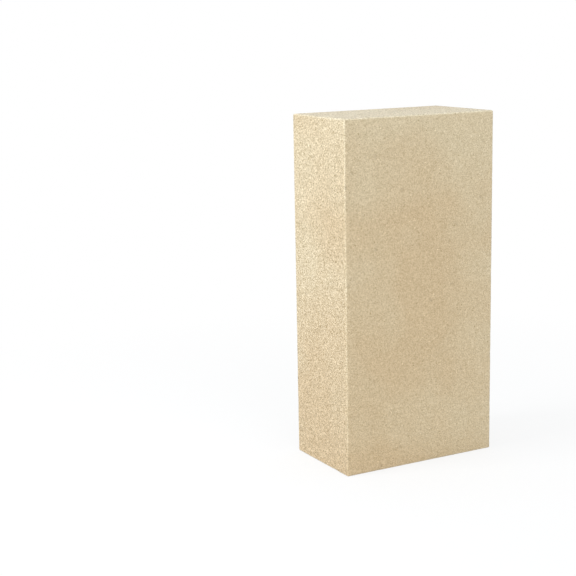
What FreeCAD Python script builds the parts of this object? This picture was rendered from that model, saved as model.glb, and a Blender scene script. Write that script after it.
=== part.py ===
import FreeCAD, Part
import os

# Standard straight firebrick, fired as one solid block and standing on one of its small ends.
# Millimetres. X runs along the width, Y along the thickness and Z up the length.
# The origin is the middle of the lower end, on the surface that the brick stands on.

# Driving dimensions
length = 230.0
width = 114.0
thickness = 65.0
arris_radius = 1.0


def make_block():
    """The brick before its edges are eased: two bed faces, two long narrow faces and two ends, all square."""
    near_lower_corner = FreeCAD.Vector(-width / 2, -thickness / 2, 0)
    return Part.makeBox(width, thickness, length, near_lower_corner)


def ease_arrises(block):
    """Round all twelve edges alike, as grinding to size leaves them, with a ball-shaped corner where three meet."""
    return block.makeFillet(arris_radius, block.Edges)


os.makedirs("parts", exist_ok=True)
firebrick = ease_arrises(make_block())
firebrick.exportStep("parts/firebrick.step")
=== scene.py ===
"""Dresses a refractory firebrick: a block with ground faces, eased arrises, open grain and small pores."""
import math

import bmesh
import bpy
from bpy.props import FloatProperty, FloatVectorProperty, PointerProperty
from mathutils import Matrix, Vector, noise


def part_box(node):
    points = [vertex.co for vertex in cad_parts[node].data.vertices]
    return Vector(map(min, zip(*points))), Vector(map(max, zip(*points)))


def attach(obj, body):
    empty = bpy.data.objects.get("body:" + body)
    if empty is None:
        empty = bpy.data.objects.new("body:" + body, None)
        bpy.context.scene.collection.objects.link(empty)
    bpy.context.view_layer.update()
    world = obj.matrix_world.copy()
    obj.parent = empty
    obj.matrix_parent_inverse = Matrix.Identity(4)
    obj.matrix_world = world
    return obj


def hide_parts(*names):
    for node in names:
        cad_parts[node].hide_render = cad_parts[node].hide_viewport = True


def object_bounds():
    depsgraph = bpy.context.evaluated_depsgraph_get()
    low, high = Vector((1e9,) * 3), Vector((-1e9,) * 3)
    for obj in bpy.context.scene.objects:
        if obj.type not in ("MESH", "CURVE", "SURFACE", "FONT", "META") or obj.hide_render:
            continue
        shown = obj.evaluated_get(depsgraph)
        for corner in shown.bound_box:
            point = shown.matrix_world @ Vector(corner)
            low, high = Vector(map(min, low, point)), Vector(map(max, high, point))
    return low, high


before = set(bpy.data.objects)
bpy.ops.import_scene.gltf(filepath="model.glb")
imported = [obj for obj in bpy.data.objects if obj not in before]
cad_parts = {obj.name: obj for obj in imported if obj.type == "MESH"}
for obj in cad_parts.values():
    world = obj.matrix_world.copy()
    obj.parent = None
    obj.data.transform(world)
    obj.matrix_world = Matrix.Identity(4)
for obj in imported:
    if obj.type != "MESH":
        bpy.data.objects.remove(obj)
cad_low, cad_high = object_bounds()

bl_info = {
    "name": "Refractory firebrick",
    "version": (1, 0, 0),
    "blender": (4, 5, 0),
    "location": "3D View > Sidebar > Firebrick",
    "description": "Models a fired refractory brick and a plain studio stage for it",
    "category": "Object",
}

BRICK_NODE = "firebrick"
MILLIMETRE = 0.001
SENSOR_WIDTH = 36.0
WHITE = (1.0, 1.0, 1.0)
MATT_WHITE = (0.95, 0.95, 0.95)
LAMPS = ("key", "overhead", "front")


class FirebrickBody(bpy.types.PropertyGroup):
    """Sizes of the brick's edges and of the relief on its faces."""

    mesh_step: FloatProperty(
        name="Mesh step",
        description="Distance between the mesh lines in the middle of a face",
        default=1.05 * MILLIMETRE,
        subtype="DISTANCE",
    )
    arris_radius: FloatProperty(
        name="Arris radius",
        description="Rounding of the edges between the faces",
        default=1.0 * MILLIMETRE,
        subtype="DISTANCE",
    )
    arris_reach: FloatProperty(
        name="Arris reach",
        description="How far from an edge its wear goes",
        default=1.4 * MILLIMETRE,
        subtype="DISTANCE",
    )
    arris_wear: FloatProperty(
        name="Arris wear",
        description="Depth of the grains lost along the edges",
        default=0.3 * MILLIMETRE,
        subtype="DISTANCE",
    )
    loose_size: FloatProperty(
        name="Loose grain size",
        description="Width of the grains lost along the edges",
        default=1.4 * MILLIMETRE,
        subtype="DISTANCE",
    )
    nick_depth: FloatProperty(
        name="Nick depth",
        description="Depth of the deepest nicks in the edges",
        default=0.7 * MILLIMETRE,
        subtype="DISTANCE",
    )
    nick_spacing: FloatProperty(
        name="Nick spacing",
        description="Usual distance between the nicks along an edge",
        default=9.0 * MILLIMETRE,
        subtype="DISTANCE",
    )
    nick_rarity: FloatProperty(
        name="Nick rarity",
        description="How high the noise along an edge has to rise before it leaves a nick",
        default=0.25,
        subtype="FACTOR",
        min=0.0,
        max=1.0,
    )
    grain_size: FloatProperty(
        name="Grain size",
        description="Width of the coarse grains that stand out of the faces",
        default=2.4 * MILLIMETRE,
        subtype="DISTANCE",
    )
    grain_depth: FloatProperty(
        name="Grain depth",
        description="Height of the coarse grains",
        default=0.06 * MILLIMETRE,
        subtype="DISTANCE",
    )
    pit_spacing: FloatProperty(
        name="Pit spacing",
        description="Distance between the open pores inside the body",
        default=13.0 * MILLIMETRE,
        subtype="DISTANCE",
    )
    pit_radius: FloatProperty(
        name="Pit radius",
        description="Radius of an open pore that a face cuts through its middle",
        default=1.3 * MILLIMETRE,
        subtype="DISTANCE",
    )
    pit_depth: FloatProperty(
        name="Pit depth",
        description="Depth of an open pore that a face cuts through its middle",
        default=0.8 * MILLIMETRE,
        subtype="DISTANCE",
    )


class FirebrickFinish(bpy.types.PropertyGroup):
    """Colours and surface of the fired body."""

    cool_colour: FloatVectorProperty(
        name="Cool buff",
        description="Body colour where the fire left it greyer",
        default=(0.687, 0.573, 0.377),
        subtype="COLOR",
        size=3,
        min=0.0,
        max=1.0,
    )
    warm_colour: FloatVectorProperty(
        name="Warm buff",
        description="Body colour where the fire left it pinker",
        default=(0.640, 0.493, 0.297),
        subtype="COLOR",
        size=3,
        min=0.0,
        max=1.0,
    )
    # Pale arris colour: paler fresh body along rubbed arrises, and partly a painted highlight along the
    # edges.
    pale_rub_highlight_colour: FloatVectorProperty(
        name="Pale arris",
        description="Colour of the fresh body that shows along rubbed edges",
        default=(0.92, 0.845, 0.65),
        subtype="COLOR",
        size=3,
        min=0.0,
        max=1.0,
    )
    # Painted shade: the dark colour inside the open pores stands in for the shade that falls in them.
    pore_shade_colour: FloatVectorProperty(
        name="Pore",
        description="Colour inside the open pores",
        default=(0.36, 0.28, 0.17),
        subtype="COLOR",
        size=3,
        min=0.0,
        max=1.0,
    )
    patch_size: FloatProperty(
        name="Patch size",
        description="Width of the warm and cool patches",
        default=140.0 * MILLIMETRE,
        subtype="DISTANCE",
    )
    patch_shift: FloatVectorProperty(
        name="Patch shift",
        description="Which part of the endless pattern of patches the brick takes",
        default=(0.893, 4.444, 1.701),
        subtype="TRANSLATION",
        size=3,
    )
    cool_limit: FloatProperty(
        name="Cool limit",
        description="Value of the pattern of patches below which the body is fully cool",
        default=0.43,
        subtype="FACTOR",
        min=0.0,
        max=1.0,
    )
    warm_limit: FloatProperty(
        name="Warm limit",
        description="Value of the pattern of patches above which the body is fully warm",
        default=0.64,
        subtype="FACTOR",
        min=0.0,
        max=1.0,
    )
    # The foot set below is painted warm bounce light and shade: the body turns warmer and darker towards
    # the bottom.
    painted_bounce_height: FloatProperty(
        name="Foot height",
        description="How far up the brick its warmer foot goes",
        default=19.0 * MILLIMETRE,
        subtype="DISTANCE",
    )
    painted_bounce_warmth: FloatProperty(
        name="Foot warmth",
        description="How much warmer than the patches above it the foot is",
        default=0.06,
        subtype="FACTOR",
        min=0.0,
        max=1.0,
    )
    crumb_size: FloatProperty(
        name="Crumb size",
        description="Width of the crumbs that stand out of the body",
        default=0.7 * MILLIMETRE,
        subtype="DISTANCE",
    )
    crumb_height: FloatProperty(
        name="Crumb height",
        description="How far the crumbs stand out",
        default=0.57 * MILLIMETRE,
        subtype="DISTANCE",
    )
    speckle_size: FloatProperty(
        name="Speckle size",
        description="Width of the fine grains",
        default=0.6 * MILLIMETRE,
        subtype="DISTANCE",
    )
    speckle_tint: FloatVectorProperty(
        name="Speckle tint",
        description="How strongly the speckle changes the red, the green and the blue of the body",
        default=(0.89, 1.0, 1.29),
        size=3,
        min=0.0,
    )
    fleck_spacing: FloatProperty(
        name="Fleck spacing",
        description="Distance between the larger light and dark flecks inside the body",
        default=3.6 * MILLIMETRE,
        subtype="DISTANCE",
    )
    fleck_radius: FloatProperty(
        name="Fleck radius",
        description="Radius of a fleck that a face cuts through its middle",
        default=0.55 * MILLIMETRE,
        subtype="DISTANCE",
    )
    fleck_contrast: FloatProperty(
        name="Fleck contrast",
        description="How much lighter and darker than the body the flecks are",
        default=0.34,
        subtype="FACTOR",
        min=0.0,
        max=1.0,
    )
    bed_contrast: FloatProperty(
        name="Bed contrast",
        description="How much lighter and darker than the body the grains are on the two bed faces",
        default=0.165,
        subtype="FACTOR",
        min=0.0,
        max=1.0,
    )
    # The higher grain contrast on the narrow faces and ends than on the beds is partly painted light: it
    # stands in for relief shade that raking light brings out and frontal light flattens.
    open_contrast: FloatProperty(
        name="Open contrast",
        description="How much lighter and darker than the body the grains are on the narrow faces and ends",
        default=0.375,
        subtype="FACTOR",
        min=0.0,
        max=1.0,
    )
    end_coarseness: FloatProperty(
        name="End coarseness",
        description="How many times coarser than on the upright faces the grains are on the two ends",
        default=1.4,
        min=0.1,
    )
    # Share of painted shade in the open pores.
    pore_shade_share: FloatProperty(
        name="Pore share",
        description="How far the open pores go towards their own colour",
        default=0.6,
        subtype="FACTOR",
        min=0.0,
        max=1.0,
    )
    # The three settings below set the pale arrises, which are partly rubbed fresh body and partly a painted
    # highlight along the edges.
    rub_highlight_size: FloatProperty(
        name="Rub size",
        description="Length of the rubbed stretches of the arrises",
        default=2.0 * MILLIMETRE,
        subtype="DISTANCE",
    )
    rub_highlight_share: FloatProperty(
        name="Rub share",
        description="How far the rubbed arrises of a cool patch go towards the pale colour",
        default=0.8,
        subtype="FACTOR",
        min=0.0,
        max=1.0,
    )
    warm_rub_highlight_share: FloatProperty(
        name="Warm rub share",
        description="How far the rubbed arrises of a warm patch go towards the pale colour",
        default=0.32,
        subtype="FACTOR",
        min=0.0,
        max=1.0,
    )
    roughness: FloatProperty(
        name="Roughness",
        description="How matt the fired body is",
        default=0.92,
        subtype="FACTOR",
        min=0.0,
        max=1.0,
    )
    dustiness: FloatProperty(
        name="Dustiness",
        description="How much paler the body looks at a shallow angle",
        default=0.3,
        subtype="FACTOR",
        min=0.0,
        max=1.0,
    )


class FirebrickStage(bpy.types.PropertyGroup):
    """Camera, lamps and floor."""

    camera_azimuth: FloatProperty(
        name="Camera azimuth",
        description="Turn of the camera round the brick, from straight in front of the bed face",
        default=math.radians(-28.515),
        subtype="ANGLE",
    )
    camera_elevation: FloatProperty(
        name="Camera elevation",
        description="How far the camera looks down",
        default=math.radians(11.413),
        subtype="ANGLE",
    )
    camera_roll: FloatProperty(
        name="Camera roll",
        description="Tilt of the camera about its line of sight",
        default=math.radians(-1.114),
        subtype="ANGLE",
    )
    camera_distance: FloatProperty(
        name="Camera distance",
        description="From the lens to the middle of the brick, along the line of sight",
        default=0.89098,
        subtype="DISTANCE",
    )
    camera_aside: FloatProperty(
        name="Camera aside",
        description="How far the camera stands to the right of the line to the brick's middle",
        default=-0.07068,
        subtype="DISTANCE",
    )
    camera_above: FloatProperty(
        name="Camera above",
        description="How far the camera stands above the line to the brick's middle",
        default=-0.00228,
        subtype="DISTANCE",
    )
    lens: FloatProperty(
        name="Lens",
        description="Focal length, for a sensor 36 mm wide",
        default=83.16,
        unit="CAMERA",
    )
    key_place: FloatVectorProperty(
        name="Key place",
        description="Where the lamp beside the narrow face hangs",
        default=(-0.9, 0.1, 0.5),
        subtype="TRANSLATION",
        size=3,
    )
    key_size: FloatProperty(
        name="Key size",
        description="Side of the lamp beside the narrow face",
        default=0.4,
        subtype="DISTANCE",
    )
    key_power: FloatProperty(
        name="Key power",
        description="Power of the lamp beside the narrow face",
        default=5.15,
        unit="POWER",
    )
    key_colour: FloatVectorProperty(
        name="Key colour",
        description="Colour of the lamp beside the narrow face",
        default=WHITE,
        subtype="COLOR",
        size=3,
        min=0.0,
        max=1.0,
    )
    overhead_place: FloatVectorProperty(
        name="Overhead place",
        description="Where the soft lamp over the upper end hangs",
        default=(0.1, 0.1, 1.6),
        subtype="TRANSLATION",
        size=3,
    )
    overhead_size: FloatProperty(
        name="Overhead size",
        description="Side of the soft lamp over the upper end",
        default=1.0,
        subtype="DISTANCE",
    )
    overhead_power: FloatProperty(
        name="Overhead power",
        description="Power of the soft lamp over the upper end",
        default=7.1,
        unit="POWER",
    )
    overhead_colour: FloatVectorProperty(
        name="Overhead colour",
        description="Cool colour of the soft lamp over the upper end",
        default=(0.75, 0.88, 1.0),
        subtype="COLOR",
        size=3,
        min=0.0,
        max=1.0,
    )
    front_place: FloatVectorProperty(
        name="Front place",
        description="Where the soft lamp in front of the bed face hangs",
        default=(-0.2, -1.8, 0.6),
        subtype="TRANSLATION",
        size=3,
    )
    front_size: FloatProperty(
        name="Front size",
        description="Side of the soft lamp in front of the bed face",
        default=1.2,
        subtype="DISTANCE",
    )
    front_power: FloatProperty(
        name="Front power",
        description="Power of the soft lamp in front of the bed face",
        default=14.1,
        unit="POWER",
    )
    front_colour: FloatVectorProperty(
        name="Front colour",
        description="Colour of the soft lamp in front of the bed face",
        default=WHITE,
        subtype="COLOR",
        size=3,
        min=0.0,
        max=1.0,
    )
    sky_strength: FloatProperty(
        name="Sky strength",
        description="Even light from all round",
        default=0.5,
        min=0.0,
    )
    floor_size: FloatProperty(
        name="Floor size",
        description="Side of the floor",
        default=8.0,
        subtype="DISTANCE",
    )
    floor_colour: FloatVectorProperty(
        name="Floor colour",
        description="Colour of the floor in the light that it sends back",
        default=(0.72, 0.72, 0.72),
        subtype="COLOR",
        size=3,
        min=0.0,
        max=1.0,
    )
    floor_whiteness: FloatProperty(
        name="Floor whiteness",
        description="Share of plain white in the floor beside the brick, as the camera sees it",
        default=0.8,
        subtype="FACTOR",
        min=0.0,
        max=1.0,
    )
    shadow_start: FloatProperty(
        name="Shadow start",
        description="How far from the brick's middle the floor starts to turn plain white",
        default=0.135,
        subtype="DISTANCE",
    )
    shadow_reach: FloatProperty(
        name="Shadow reach",
        description="How far from the brick's middle the floor has turned plain white",
        default=0.45,
        subtype="DISTANCE",
    )


def add_node(tree, kind, settings=None, sockets=None):
    """A new node with its settings set, and each socket given a value or the output that feeds it."""
    node = tree.nodes.new(kind)
    for name, value in (settings or {}).items():
        setattr(node, name, value)
    for name, value in (sockets or {}).items():
        if isinstance(value, bpy.types.NodeSocket):
            tree.links.new(value, node.inputs[name])
        else:
            node.inputs[name].default_value = value
    return node


def maths(tree, operation, *values):
    """The output of a Math node that works on these values or outputs."""
    sockets = dict(enumerate(values))
    return add_node(tree, "ShaderNodeMath", {"operation": operation}, sockets).outputs[0]


def mixed_colour(tree, share, first, second):
    """The output of a colour mix, from the first colour to the second."""
    sockets = {0: share, 6: first, 7: second}
    return add_node(tree, "ShaderNodeMix", {"data_type": "RGBA"}, sockets).outputs[2]


def opaque(colour):
    """A colour with the fourth number that colour sockets ask for."""
    return (*colour, 1.0)


def stretched(tree, value, low, high, new_low, new_high):
    """The output of a Map Range node that is held to its limits."""
    sockets = {0: value, 1: low, 2: high, 3: new_low, 4: new_high}
    return add_node(tree, "ShaderNodeMapRange", {"clamp": True}, sockets).outputs[0]


def new_material(name):
    """An empty node material: (material, its tree, its surface output socket)."""
    material = bpy.data.materials.new(name)
    material.use_nodes = True
    tree = material.node_tree
    tree.nodes.clear()
    output = tree.nodes.new("ShaderNodeOutputMaterial")
    return material, tree, output.inputs["Surface"]


def noise_value(tree, place, size, detail, roughness):
    """The output of a noise texture whose lumps are about this wide."""
    sockets = {"Vector": place, "Scale": 1.0 / size, "Detail": detail, "Roughness": roughness}
    return add_node(tree, "ShaderNodeTexNoise", sockets=sockets).outputs["Fac"]


def attribute(tree, name):
    """The output of one of the brick's own per-point values."""
    return add_node(tree, "ShaderNodeAttribute", {"attribute_name": name}).outputs["Fac"]


def by_face(tree, upright, end):
    """The first value or output on the upright faces, and the second on the two ends."""
    return stretched(tree, attribute(tree, "end"), 0.0, 1.0, upright, end)


def patch_and_bounce_warmth(tree, place, finish):
    """0 where the body is cool and 1 where it is warm: broad patches that the fire left, and a warmer,
    darker foot that is painted warm bounce light and shade.
    """
    sockets = {0: place, 1: finish.patch_shift}
    shifted = add_node(tree, "ShaderNodeVectorMath", {"operation": "ADD"}, sockets).outputs[0]
    patches = noise_value(tree, shifted, finish.patch_size, detail=3.0, roughness=0.62)
    height = add_node(tree, "ShaderNodeSeparateXYZ", sockets={0: place}).outputs["Z"]
    # Painted warm bounce light and shade at the foot.
    foot = stretched(tree, height, 0.0, finish.painted_bounce_height, finish.painted_bounce_warmth, 0.0)
    pattern = maths(tree, "ADD", patches, foot)
    return stretched(tree, pattern, finish.cool_limit, finish.warm_limit, 0.0, 1.0)


def ragged_place(tree, place, finish):
    """The place, pushed about by less than a grain, so that the grains get ragged outlines."""
    lumps_per_grain = 1.6
    reach_in_grains = 1.3
    sockets = {"Vector": place, "Scale": lumps_per_grain / finish.speckle_size, "Detail": 1.0}
    push = add_node(tree, "ShaderNodeTexNoise", sockets=sockets).outputs["Color"]
    sockets = {0: push, 1: (0.5, 0.5, 0.5)}
    centred = add_node(tree, "ShaderNodeVectorMath", {"operation": "SUBTRACT"}, sockets).outputs[0]
    reach = reach_in_grains * finish.speckle_size
    sockets = {0: centred, 1: (reach, reach, reach), 2: place}
    return add_node(tree, "ShaderNodeVectorMath", {"operation": "MULTIPLY_ADD"}, sockets).outputs[0]


def cells(tree, place, size):
    """A cell pattern: (how far the middle of the cell is, in cells, and its chance value from 0 to 1)."""
    sockets = {"Vector": place, "Scale": 1.0 / size}
    pattern = add_node(tree, "ShaderNodeTexVoronoi", {"feature": "F1"}, sockets)
    chance = add_node(tree, "ShaderNodeSeparateColor", sockets={0: pattern.outputs["Color"]}).outputs[0]
    return pattern.outputs["Distance"], chance


def fleck_tone(tree, place, finish):
    """Light and dark flecks with nothing between them: 1 in a light one and -1 in a dark one."""
    distance, chance = cells(tree, place, finish.fleck_spacing)
    radius = finish.fleck_radius / finish.fleck_spacing
    full_radius = 0.6 * radius
    inside = stretched(tree, distance, full_radius, radius, 1.0, 0.0)
    # Half of the flecks are dark and half are light, with hardly any between.
    light_or_dark = stretched(tree, chance, 0.49, 0.51, -1.0, 1.0)
    return maths(tree, "MULTIPLY", inside, light_or_dark)


def speckled_colour(tree, body, place, crumbs, finish):
    """The body with creamy and darker grains of random tone, and painted shade in the hollows and painted
    light on the crests of the crumbs, all stronger on the open faces than on the beds.
    """
    ragged = ragged_place(tree, place, finish)
    _, upright_chance = cells(tree, ragged, finish.speckle_size)
    _, end_chance = cells(tree, ragged, finish.end_coarseness * finish.speckle_size)
    chance = by_face(tree, upright_chance, end_chance)
    even_tone = stretched(tree, chance, 0.0, 1.0, -1.0, 1.0)
    # Most grains are close to the tone of the body, and few are far from it.
    plain_share = 0.2
    rarity = maths(tree, "MULTIPLY", even_tone, even_tone)
    weight = maths(tree, "MULTIPLY_ADD", rarity, 1.0 - plain_share, plain_share)
    grain_tone = maths(tree, "MULTIPLY", even_tone, weight)
    # Painted shade in the hollows of the bumped crumbs and painted light on their crests.
    hollow = 0.2
    crest = 0.8
    strongest = 1.5
    painted_relief_shade = stretched(tree, crumbs, hollow, crest, -strongest, strongest)
    both_tones = maths(tree, "ADD", grain_tone, painted_relief_shade)
    tone = stretched(tree, both_tones, -strongest, strongest, -strongest, strongest)
    # Partly painted light: the stronger grain contrast away from the beds stands in for relief shade that
    # raking light brings out and frontal light flattens.
    open_face = attribute(tree, "open")
    contrast = stretched(tree, open_face, 0.0, 1.0, finish.bed_contrast, finish.open_contrast)
    flecks = maths(tree, "MULTIPLY", fleck_tone(tree, ragged, finish), finish.fleck_contrast)
    strength = maths(tree, "MULTIPLY_ADD", tone, contrast, flecks)
    sockets = {0: finish.speckle_tint, "Scale": strength}
    change = add_node(tree, "ShaderNodeVectorMath", {"operation": "SCALE"}, sockets).outputs[0]
    sockets = {0: change, 1: body, 2: body}
    return add_node(tree, "ShaderNodeVectorMath", {"operation": "MULTIPLY_ADD"}, sockets).outputs[0]


def fired_body_material(finish):
    """Unglazed fired body: warm and cool patches with a warmer, darker foot of painted bounce light and
    shade, light and dark grains with painted shade and light on the crumbs, pores darkened with painted
    shade, and pale arrises that are partly rubbed body and partly a painted highlight.
    """
    material, tree, surface = new_material("fired_body")
    place = add_node(tree, "ShaderNodeTexCoord").outputs["Object"]
    upright_crumbs = noise_value(tree, place, finish.crumb_size, detail=1.0, roughness=0.5)
    end_size = finish.end_coarseness * finish.crumb_size
    end_crumbs = noise_value(tree, place, end_size, detail=1.0, roughness=0.5)
    crumbs = by_face(tree, upright_crumbs, end_crumbs)

    warmth = patch_and_bounce_warmth(tree, place, finish)
    body = mixed_colour(tree, warmth, opaque(finish.cool_colour), opaque(finish.warm_colour))
    # Pale arrises: partly rubbed fresh body and partly a painted highlight along the edges, in ragged
    # stretches.
    stretches = noise_value(tree, place, finish.rub_highlight_size, detail=2.0, roughness=0.6)
    pale_start = 0.35
    pale_full = 0.6
    least_pale = 0.4
    ragged = stretched(tree, stretches, pale_start, pale_full, least_pale, 1.0)
    pale_share = stretched(tree, warmth, 0.0, 1.0, finish.rub_highlight_share, finish.warm_rub_highlight_share)
    rub_and_highlight = maths(tree, "MULTIPLY", attribute(tree, "arris"), maths(tree, "MULTIPLY", ragged, pale_share))
    body = mixed_colour(tree, rub_and_highlight, body, opaque(finish.pale_rub_highlight_colour))
    speckled = speckled_colour(tree, body, place, crumbs, finish)
    # Painted shade inside the open pores.
    pore = maths(tree, "MULTIPLY", attribute(tree, "pit"), finish.pore_shade_share)
    colour = mixed_colour(tree, pore, speckled, opaque(finish.pore_shade_colour))

    crumb_height = by_face(tree, finish.crumb_height, finish.end_coarseness * finish.crumb_height)
    sockets = {"Height": crumbs, "Distance": crumb_height, "Strength": 1.0}
    relief = add_node(tree, "ShaderNodeBump", sockets=sockets).outputs["Normal"]
    shader = add_node(
        tree,
        "ShaderNodeBsdfPrincipled",
        sockets={
            "Base Color": colour,
            "Roughness": finish.roughness,
            "Sheen Weight": finish.dustiness,
            "Normal": relief,
        },
    )
    tree.links.new(shader.outputs[0], surface)
    return material


def runs_along(edge, axis):
    """True for an edge that is parallel to that axis."""
    step = edge.verts[1].co - edge.verts[0].co
    nearly_all = 0.999
    return abs(step[axis]) > nearly_all * step.length


class BrickShape:
    """Where each point of a plain block goes on the finished brick, inside the box of the solid."""

    # Mesh steps shrink by this share at an arris, and over about this many rows from it.
    crowding = 0.65
    crowded_rows = 4.0
    # How fast the wall of an open pore goes down to its flat floor.
    pit_slope = 1.6

    def __init__(self, low, high, body):
        self.centre = (low + high) / 2
        self.half = (high - low) / 2
        self.body = body

    def steps(self, axis):
        """Mesh steps along an axis: a few more than even ones, because they crowd towards the arrises."""
        even = self.half[axis] / self.body.mesh_step
        return round(2 * (even + self.crowding * self.crowded_rows))

    def from_edge(self, rows, axis):
        """Distance of a mesh line from the arris, counted in rows from it."""
        crowd = self.crowding * self.crowded_rows
        step = self.half[axis] / (self.steps(axis) / 2 - crowd)
        return step * (rows - crowd * (1.0 - math.exp(-rows / self.crowded_rows)))

    def on_block(self, unit_place):
        """A point of the block about its centre, from its place on a cube of side 1."""
        place = Vector()
        for axis in range(3):
            rows = (0.5 - abs(unit_place[axis])) * self.steps(axis)
            inward = self.from_edge(rows, axis)
            place[axis] = math.copysign(self.half[axis] - inward, unit_place[axis])
        return place

    def arris_distance(self, place):
        """How far a point of the block's surface is from the nearest arris."""
        depths = sorted(self.half[axis] - abs(place[axis]) for axis in range(3))
        return depths[1]

    def eased(self, place):
        """The point on the rounded block, and the direction that points out of it there."""
        radius = self.body.arris_radius
        core = Vector()
        for axis in range(3):
            reach = self.half[axis] - radius
            core[axis] = max(-reach, min(reach, place[axis]))
        outward = (place - core).normalized()
        return core + outward * radius, outward

    def arris_share(self, place):
        """1 on an arris, and 0 further from it than its wear goes."""
        share = max(0.0, 1.0 - self.arris_distance(place) / self.body.arris_reach)
        return share * share

    def pit_share(self, place):
        """1 in the middle of an open pore, and 0 outside."""
        spacing = self.body.pit_spacing
        distances, _ = noise.voronoi(place / spacing)
        return max(0.0, 1.0 - distances[0] * spacing / self.body.pit_radius)

    def pit_depth(self, pit):
        """Depth of an open pore: its wall slopes down to a flat floor."""
        return self.body.pit_depth * min(1.0, self.pit_slope * pit)

    def grain(self, place):
        """Height of the coarse grain, from 0 in a hollow to 1 on a grain."""
        fine_size = 0.45 * self.body.grain_size
        rough = noise.noise(place / self.body.grain_size)
        fine = noise.noise(place / fine_size)
        return max(0.0, min(1.0, 0.5 + 0.6 * rough + 0.4 * fine))

    def wear(self, place, arris):
        """Depth of what is lost along an arris: loose grains all along, and nicks here and there."""
        loose = 0.5 + 0.5 * noise.noise(place / self.body.loose_size)
        nick = max(0.0, noise.noise(place / self.body.nick_spacing) - self.body.nick_rarity)
        return arris * (self.body.arris_wear * loose + self.body.nick_depth * nick)


def sculpted_block(shape):
    """A closed mesh of quads: a cube cut into rows along each axis, with its points moved into shape."""
    block = bmesh.new()
    bmesh.ops.create_cube(block, size=1.0)
    for axis in range(3):
        along = [edge for edge in block.edges if runs_along(edge, axis)]
        bmesh.ops.subdivide_edges(block, edges=along, cuts=shape.steps(axis) - 1, use_grid_fill=True)
    open_layer = block.verts.layers.float.new("open")
    end_layer = block.verts.layers.float.new("end")
    arris_layer = block.verts.layers.float.new("arris")
    pit_layer = block.verts.layers.float.new("pit")
    for point in block.verts:
        place = shape.on_block(point.co)
        arris = shape.arris_share(place)
        pit = shape.pit_share(place)
        eased, outward = shape.eased(place)
        depth = shape.body.grain_depth * (1.0 - shape.grain(place))
        depth += shape.pit_depth(pit)
        depth += shape.wear(place, arris)
        point.co = shape.centre + eased - outward * depth
        point[open_layer] = 1.0 - abs(outward.y)
        point[end_layer] = abs(outward.z)
        point[arris_layer] = arris
        point[pit_layer] = pit
    bmesh.ops.recalc_face_normals(block, faces=block.faces)
    return block


class FIREBRICK_OT_make_brick(bpy.types.Operator):
    """Models the fired brick over its solid"""

    bl_idname = "firebrick.make_brick"
    bl_label = "Make brick"

    def execute(self, context):
        shape = BrickShape(*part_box(BRICK_NODE), context.scene.firebrick_body)
        block = sculpted_block(shape)
        mesh = bpy.data.meshes.new("brick_body")
        block.to_mesh(mesh)
        block.free()
        mesh.shade_smooth()
        mesh.materials.append(fired_body_material(context.scene.firebrick_finish))
        brick = bpy.data.objects.new("brick_body", mesh)
        context.scene.collection.objects.link(brick)
        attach(brick, "root")
        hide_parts(BRICK_NODE)
        return {"FINISHED"}


def looking(back, roll):
    """A turn for a camera or lamp that looks against the direction back, with its top up, less a roll."""
    right = Vector((0.0, 0.0, 1.0)).cross(back).normalized()
    up = back.cross(right)
    level = Matrix((right, up, back)).transposed()
    return level @ Matrix.Rotation(roll, 3, "Z")


def add_lamp(stage, name, aim):
    """A square area lamp with the place, size, power and colour that the stage has under its name."""
    lamp = bpy.data.lights.new(name, "AREA")
    lamp.shape = "SQUARE"
    lamp.size = getattr(stage, name + "_size")
    lamp.energy = getattr(stage, name + "_power")
    lamp.color = getattr(stage, name + "_colour")
    place = getattr(stage, name + "_place")
    turn = looking((place - aim).normalized(), 0.0)
    holder = bpy.data.objects.new(name, lamp)
    holder.matrix_world = Matrix.Translation(place) @ turn.to_4x4()
    bpy.context.scene.collection.objects.link(holder)


def add_camera(stage, aim):
    """The camera, on the photograph's line of sight."""
    cosine = math.cos(stage.camera_elevation)
    back = Vector(
        (
            math.sin(stage.camera_azimuth) * cosine,
            -math.cos(stage.camera_azimuth) * cosine,
            math.sin(stage.camera_elevation),
        )
    )
    turn = looking(back, stage.camera_roll)
    offset = turn @ Vector((stage.camera_aside, stage.camera_above, stage.camera_distance))
    lens = bpy.data.cameras.new("camera")
    lens.lens = stage.lens
    lens.sensor_width = SENSOR_WIDTH
    camera = bpy.data.objects.new("camera", lens)
    camera.matrix_world = Matrix.Translation(aim + offset) @ turn.to_4x4()
    bpy.context.scene.collection.objects.link(camera)
    bpy.context.scene.camera = camera


def seen_share(tree):
    """1 for what the camera sees, directly or in a shiny or clear surface, and 0 for stray light."""
    path = add_node(tree, "ShaderNodeLightPath").outputs
    mirrored = maths(tree, "MAXIMUM", path["Is Glossy Ray"], path["Is Transmission Ray"])
    return maths(tree, "MAXIMUM", path["Is Camera Ray"], mirrored)


def add_sky(stage):
    """Even light from all round, which the camera sees as white."""
    world = bpy.data.worlds.new("sky")
    world.use_nodes = True
    tree = world.node_tree
    tree.nodes.clear()
    sockets = {"Color": opaque(WHITE), "Strength": stage.sky_strength}
    light = add_node(tree, "ShaderNodeBackground", sockets=sockets)
    sockets = {"Color": opaque(WHITE), "Strength": 1.0}
    white = add_node(tree, "ShaderNodeBackground", sockets=sockets)
    sockets = {0: seen_share(tree), 1: light.outputs[0], 2: white.outputs[0]}
    both = add_node(tree, "ShaderNodeMixShader", sockets=sockets)
    output = tree.nodes.new("ShaderNodeOutputWorld")
    tree.links.new(both.outputs[0], output.inputs["Surface"])
    bpy.context.scene.world = world


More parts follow.
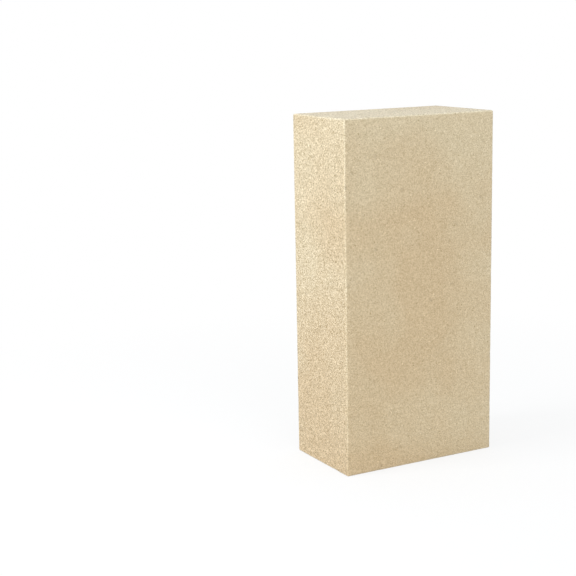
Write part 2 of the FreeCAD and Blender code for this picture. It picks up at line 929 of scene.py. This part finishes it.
def floor_material(stage):
    """Matt floor, white to the camera, that keeps a soft shadow beside the brick and none far from it."""
    material, tree, surface = new_material("floor")
    seen = seen_share(tree)
    colour = mixed_colour(tree, seen, opaque(stage.floor_colour), opaque(MATT_WHITE))
    matt = add_node(tree, "ShaderNodeBsdfDiffuse", sockets={"Color": colour})
    white = add_node(tree, "ShaderNodeEmission", sockets={"Strength": 1.0})
    place = add_node(tree, "ShaderNodeTexCoord").outputs["Object"]
    away = add_node(tree, "ShaderNodeVectorMath", {"operation": "LENGTH"}, {0: place}).outputs["Value"]
    whiteness = stretched(
        tree, away, stage.shadow_start, stage.shadow_reach, stage.floor_whiteness, 1.0
    )
    share = maths(tree, "MULTIPLY", seen, whiteness)
    sockets = {0: share, 1: matt.outputs[0], 2: white.outputs[0]}
    both = add_node(tree, "ShaderNodeMixShader", sockets=sockets)
    tree.links.new(both.outputs[0], surface)
    return material


def add_floor(stage, level):
    """The floor that the brick stands on."""
    sheet = bmesh.new()
    bmesh.ops.create_grid(sheet, x_segments=1, y_segments=1, size=stage.floor_size / 2)
    bmesh.ops.translate(sheet, verts=sheet.verts, vec=(0.0, 0.0, level))
    mesh = bpy.data.meshes.new("floor")
    sheet.to_mesh(mesh)
    sheet.free()
    mesh.materials.append(floor_material(stage))
    floor = bpy.data.objects.new("floor", mesh)
    bpy.context.scene.collection.objects.link(floor)


class FIREBRICK_OT_make_stage(bpy.types.Operator):
    """Sets up the floor, the soft lamps and the camera"""

    bl_idname = "firebrick.make_stage"
    bl_label = "Make stage"

    def execute(self, context):
        stage = context.scene.firebrick_stage
        middle = (cad_low + cad_high) / 2
        add_floor(stage, cad_low.z)
        for name in LAMPS:
            add_lamp(stage, name, middle)
        add_sky(stage)
        add_camera(stage, middle)
        context.scene.view_settings.view_transform = "Standard"
        return {"FINISHED"}


class FIREBRICK_PT_panel(bpy.types.Panel):
    """Lists the firebrick's operators and settings"""

    bl_label = "Firebrick"
    bl_space_type = "VIEW_3D"
    bl_region_type = "UI"
    bl_category = "Firebrick"

    def draw(self, context):
        layout = self.layout
        scene = context.scene
        layout.operator(FIREBRICK_OT_make_brick.bl_idname)
        layout.operator(FIREBRICK_OT_make_stage.bl_idname)
        for group in (scene.firebrick_body, scene.firebrick_finish, scene.firebrick_stage):
            box = layout.box()
            for name in group.__annotations__:
                box.prop(group, name)


CLASSES = (
    FirebrickBody,
    FirebrickFinish,
    FirebrickStage,
    FIREBRICK_OT_make_brick,
    FIREBRICK_OT_make_stage,
    FIREBRICK_PT_panel,
)


def register():
    """Adds the operators, the panel and the scene's settings."""
    for item in CLASSES:
        bpy.utils.register_class(item)
    bpy.types.Scene.firebrick_body = PointerProperty(type=FirebrickBody)
    bpy.types.Scene.firebrick_finish = PointerProperty(type=FirebrickFinish)
    bpy.types.Scene.firebrick_stage = PointerProperty(type=FirebrickStage)


def unregister():
    """Takes them away again."""
    del bpy.types.Scene.firebrick_stage
    del bpy.types.Scene.firebrick_finish
    del bpy.types.Scene.firebrick_body
    for item in reversed(CLASSES):
        bpy.utils.unregister_class(item)


def main():
    """Makes the brick and its stage."""
    register()
    bpy.ops.firebrick.make_brick()
    bpy.ops.firebrick.make_stage()


if __name__ == "__main__":
    main()
